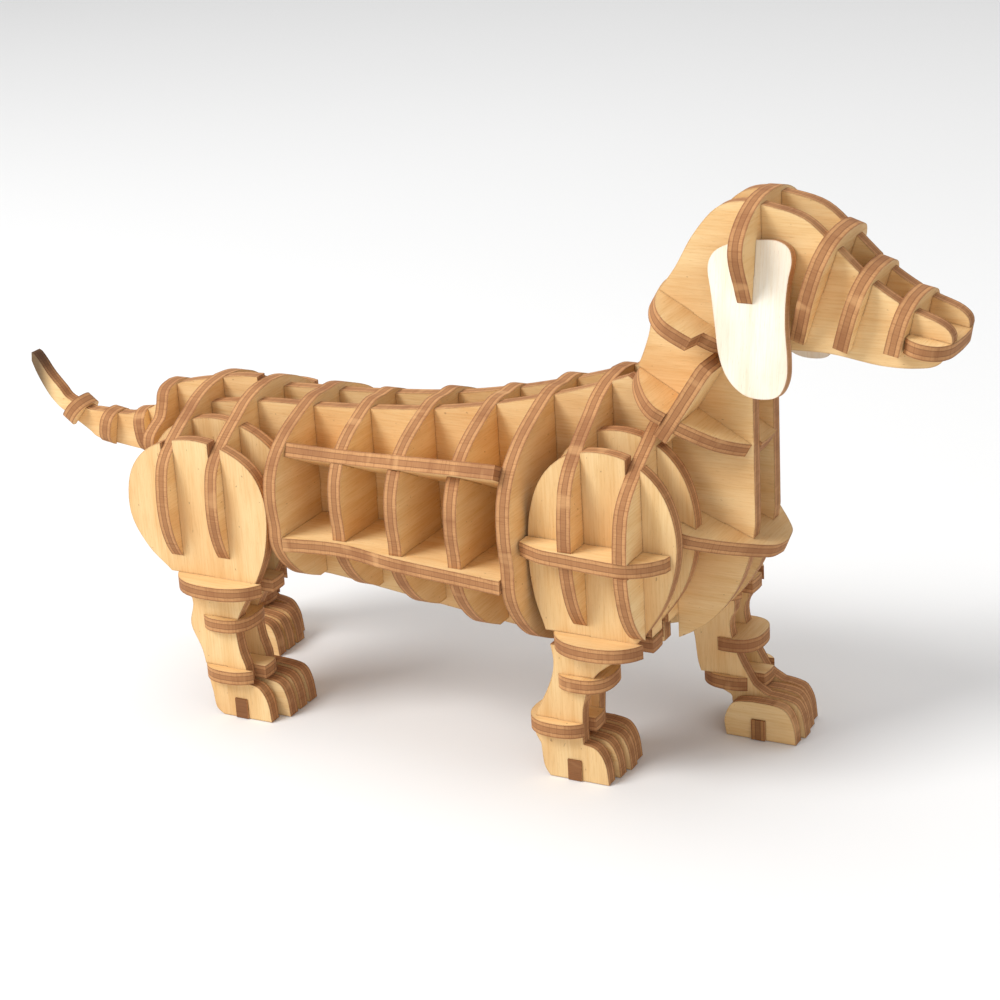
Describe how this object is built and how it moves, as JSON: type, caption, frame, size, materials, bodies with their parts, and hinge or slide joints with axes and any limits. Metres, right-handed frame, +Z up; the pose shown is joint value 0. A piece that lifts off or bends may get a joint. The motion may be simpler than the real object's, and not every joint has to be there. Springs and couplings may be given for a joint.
{
  "type": "wooden_puzzle_figure",
  "caption": "Slot-together plywood dachshund: twin side panels, cross ribs, stringers, collars, hanging ears and ringed legs, all joined by half-depth slots.",
  "frame": {"origin": "On the floor, under the middle of the overall box", "axes": "+X from tail to nose, +Y to the dog's left, +Z up"},
  "size_m": [0.1742, 0.0484, 0.0962],
  "materials": {
    "plywood_plate": "bare laser-cut birch plywood with scorched edges",
    "ear_veneer": "bare pale plywood with scorched edges"
  },
  "bodies": {
    "frame": {"side_panel_right": "plywood_plate", "side_panel_left": "plywood_plate", "tail_plate": "plywood_plate", "rump_rib": "plywood_plate", "hip_rib_rear": "plywood_plate", "hip_rib_front": "plywood_plate", "body_rib_1": "plywood_plate", "body_rib_2": "plywood_plate", "body_rib_3": "plywood_plate", "body_rib_4": "plywood_plate", "body_rib_5": "plywood_plate", "shoulder_rib_rear": "plywood_plate", "shoulder_rib_front": "plywood_plate", "neck_strut_right": "plywood_plate", "neck_strut_left": "plywood_plate", "neck_collar_lower": "plywood_plate", "neck_collar_upper": "plywood_plate", "ear_rib": "plywood_plate", "tail_ring_1": "plywood_plate", "tail_ring_2": "plywood_plate", "tail_ring_3": "plywood_plate", "front_right_outer_plate": "plywood_plate", "front_right_inner_plate": "plywood_plate", "front_right_toe_plates": "plywood_plate", "front_right_knee_disc": "plywood_plate", "front_right_shin_ring": "plywood_plate", "front_right_ankle_ring": "plywood_plate", "front_left_outer_plate": "plywood_plate", "front_left_inner_plate": "plywood_plate", "front_left_toe_plates": "plywood_plate", "front_left_knee_disc": "plywood_plate", "front_left_shin_ring": "plywood_plate", "front_left_ankle_ring": "plywood_plate", "rear_right_outer_plate": "plywood_plate", "rear_right_inner_plate": "plywood_plate", "rear_right_toe_plates": "plywood_plate", "rear_right_knee_disc": "plywood_plate", "rear_right_shin_ring": "plywood_plate", "rear_right_ankle_ring": "plywood_plate", "rear_left_outer_plate": "plywood_plate", "rear_left_inner_plate": "plywood_plate", "rear_left_toe_plates": "plywood_plate", "rear_left_knee_disc": "plywood_plate", "rear_left_shin_ring": "plywood_plate", "rear_left_ankle_ring": "plywood_plate", "foot_bars": "plywood_plate"},
    "ear_right": {"ear_right": "ear_veneer"},
    "shoulder_shelf_right": {"shoulder_shelf_right": "plywood_plate"},
    "upper_stringer_right": {"upper_stringer_right": "plywood_plate"},
    "lower_stringer_right": {"lower_stringer_right": "plywood_plate"},
    "ear_left": {"ear_left": "ear_veneer"},
    "shoulder_shelf_left": {"shoulder_shelf_left": "plywood_plate"},
    "upper_stringer_left": {"upper_stringer_left": "plywood_plate"},
    "lower_stringer_left": {"lower_stringer_left": "plywood_plate"},
    "nose_ring": {"nose_ring": "plywood_plate"},
    "chest_plate": {"chest_plate": "plywood_plate"},
    "muzzle_saddle_1": {"muzzle_saddle_1": "plywood_plate"},
    "muzzle_saddle_2": {"muzzle_saddle_2": "plywood_plate"},
    "muzzle_saddle_3": {"muzzle_saddle_3": "plywood_plate"}
  },
  "joints": [
    {"name": "ear_right_pull", "type": "slide", "parent": "frame", "child": "ear_right", "axis": [0, -0.1908, -0.9816], "range_m": [0, 0.0045]},
    {"name": "shoulder_shelf_right_pull", "type": "slide", "parent": "frame", "child": "shoulder_shelf_right", "axis": [0, -1, 0], "range_m": [0, 0.008]},
    {"name": "upper_stringer_right_pull", "type": "slide", "parent": "frame", "child": "upper_stringer_right", "axis": [0, -0.891, 0.454], "range_m": [0, 0.012]},
    {"name": "lower_stringer_right_pull", "type": "slide", "parent": "frame", "child": "lower_stringer_right", "axis": [0, -1, 0], "range_m": [0, 0.012]},
    {"name": "ear_left_pull", "type": "slide", "parent": "frame", "child": "ear_left", "axis": [0, 0.1908, -0.9816], "range_m": [0, 0.0045]},
    {"name": "shoulder_shelf_left_pull", "type": "slide", "parent": "frame", "child": "shoulder_shelf_left", "axis": [0, 1, 0], "range_m": [0, 0.008]},
    {"name": "upper_stringer_left_pull", "type": "slide", "parent": "frame", "child": "upper_stringer_left", "axis": [0, 0.891, 0.454], "range_m": [0, 0.012]},
    {"name": "lower_stringer_left_pull", "type": "slide", "parent": "frame", "child": "lower_stringer_left", "axis": [0, 1, 0], "range_m": [0, 0.012]},
    {"name": "nose_ring_pull", "type": "slide", "parent": "frame", "child": "nose_ring", "axis": [0.9848, 0, -0.1736], "range_m": [0, 0.009]},
    {"name": "chest_plate_pull", "type": "slide", "parent": "frame", "child": "chest_plate", "axis": [0.9239, 0, -0.3827], "range_m": [0, 0.012]},
    {"name": "muzzle_saddle_1_pull", "type": "slide", "parent": "frame", "child": "muzzle_saddle_1", "axis": [0.3206, 0, 0.9472], "range_m": [0, 0.008]},
    {"name": "muzzle_saddle_2_pull", "type": "slide", "parent": "frame", "child": "muzzle_saddle_2", "axis": [0.2974, 0, 0.9548], "range_m": [0, 0.008]},
    {"name": "muzzle_saddle_3_pull", "type": "slide", "parent": "frame", "child": "muzzle_saddle_3", "axis": [0.2028, 0, 0.9792], "range_m": [0, 0.008]}
  ]
}
